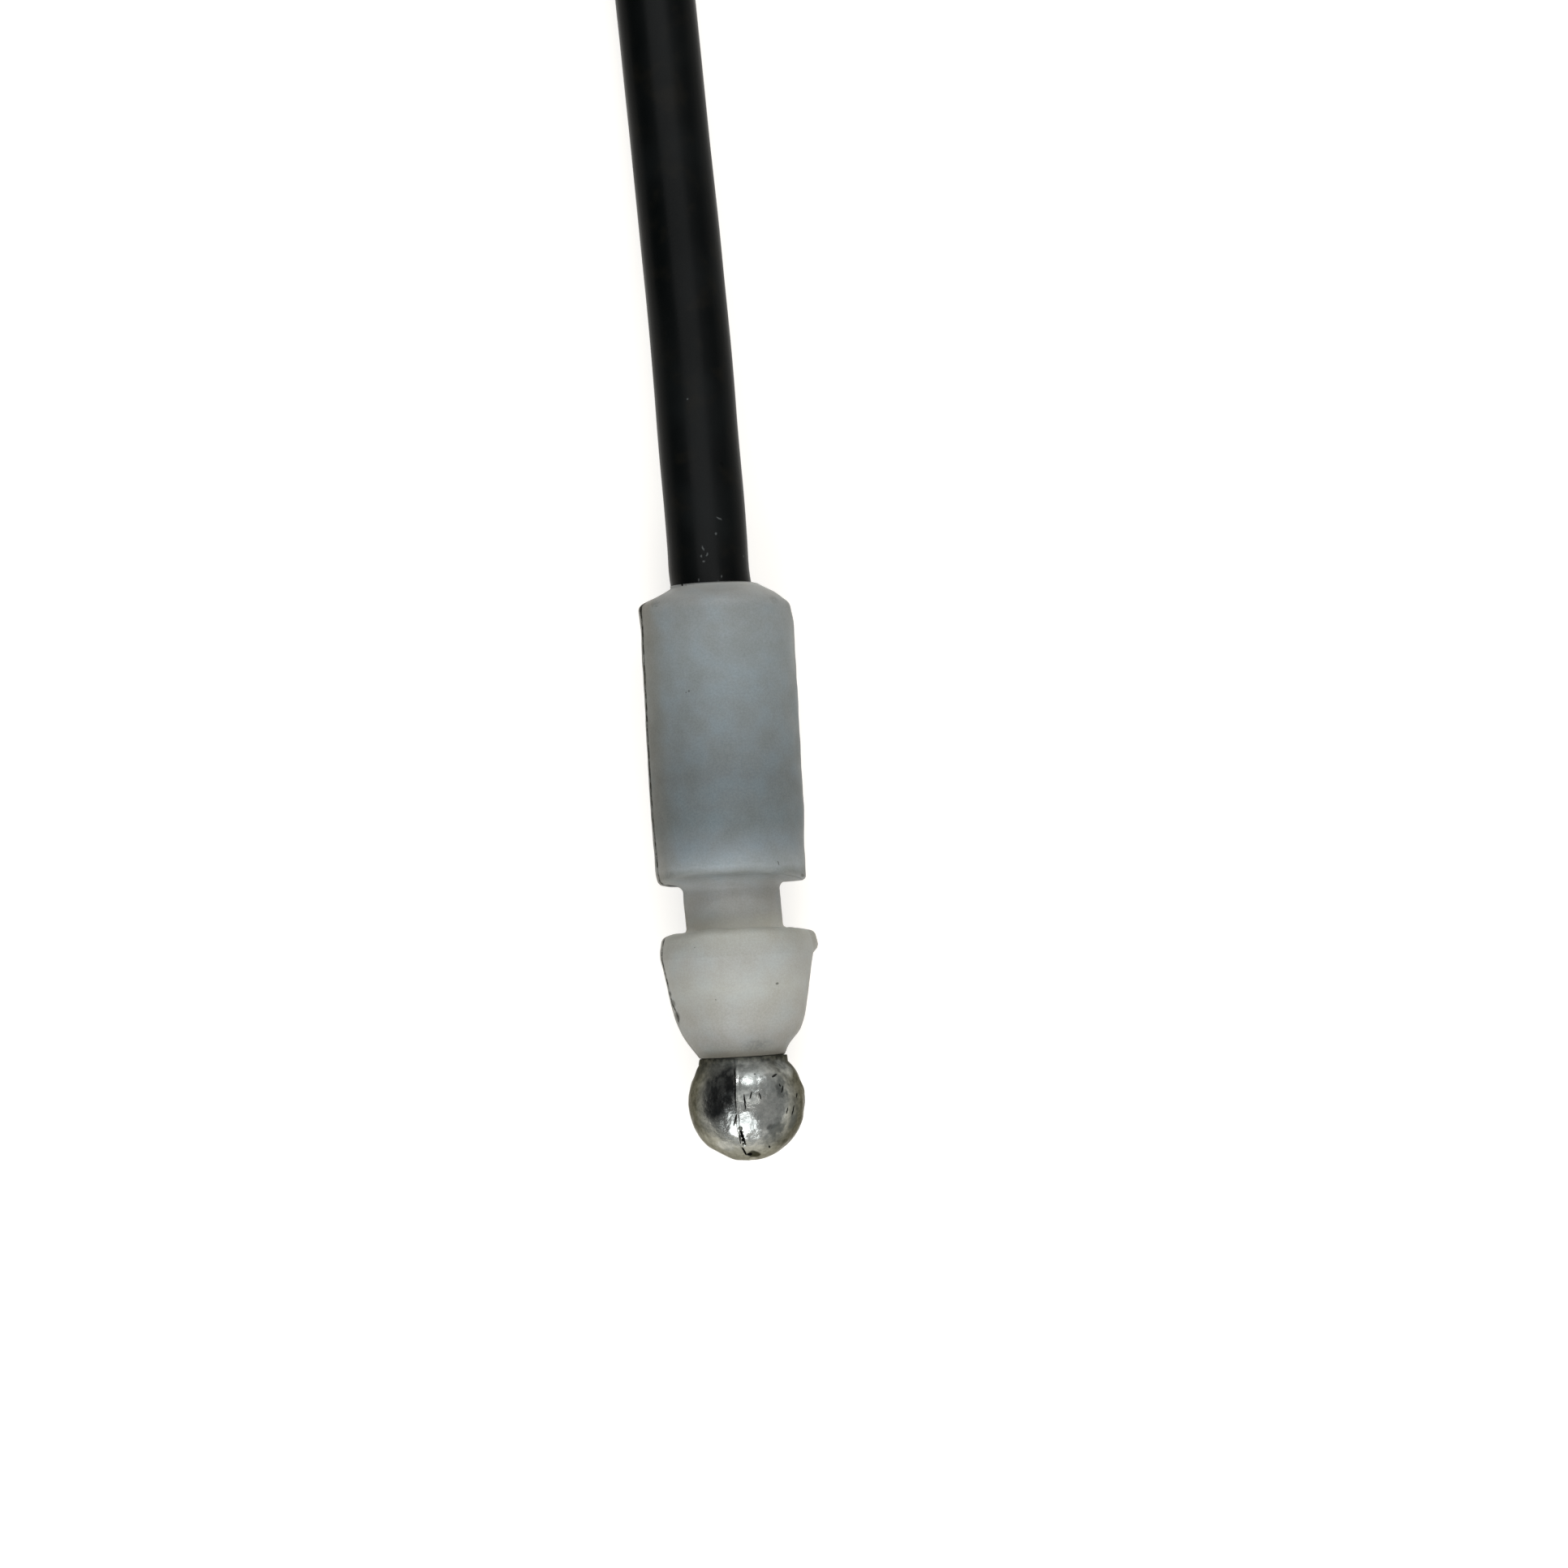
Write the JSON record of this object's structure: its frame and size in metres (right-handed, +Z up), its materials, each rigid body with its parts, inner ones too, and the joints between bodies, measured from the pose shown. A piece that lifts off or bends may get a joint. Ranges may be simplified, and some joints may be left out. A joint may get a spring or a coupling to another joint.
{
  "type": "release cable",
  "caption": "Sheathed release cable with a snap-in nylon ferrule and a cast ball on its sliding wire at each end, stored as a neat coil.",
  "frame": {"origin": "middle of the near ferrule's groove, on the ferrule's axis", "axes": "-Y out of the near ferrule to its ball, +Y along the cable, +Z up as it lies on a table"},
  "size_m": [0.0716, 0.1408, 0.0103],
  "materials": {
    "nylon": "natural nylon 6, frosted as moulded",
    "cast_zinc": "bare die-cast zinc alloy, worn bright",
    "wire_strand": "galvanised, lightly oiled",
    "jacket": "extruded, satin",
    "conduit": "drawn flat wire",
    "liner": "extruded, smooth"
  },
  "bodies": {
    "casing": {"near_ferrule": "nylon", "far_ferrule": "nylon", "jacket_lead": "jacket", "jacket_coil": "jacket", "jacket_tail": "jacket", "steel_conduit": "conduit", "liner": "liner", "inner_wire_run": "wire_strand"},
    "near_end": {"near_ball": "cast_zinc", "near_wire": "wire_strand", "near_strands": "wire_strand"},
    "far_end": {"far_ball": "cast_zinc", "far_wire": "wire_strand", "far_strands": "wire_strand"}
  },
  "joints": [
    {"name": "near_slide", "type": "slide", "parent": "casing", "child": "near_end", "axis": [0, -1, 0], "range_m": [0, 0.025]},
    {"name": "far_slide", "type": "slide", "parent": "casing", "child": "far_end", "axis": [0, -1, 0], "range_m": [-0.025, 0]}
  ],
  "couplings": [
    {"joint": "far_slide", "follows": "near_slide", "ratio": -1}
  ]
}
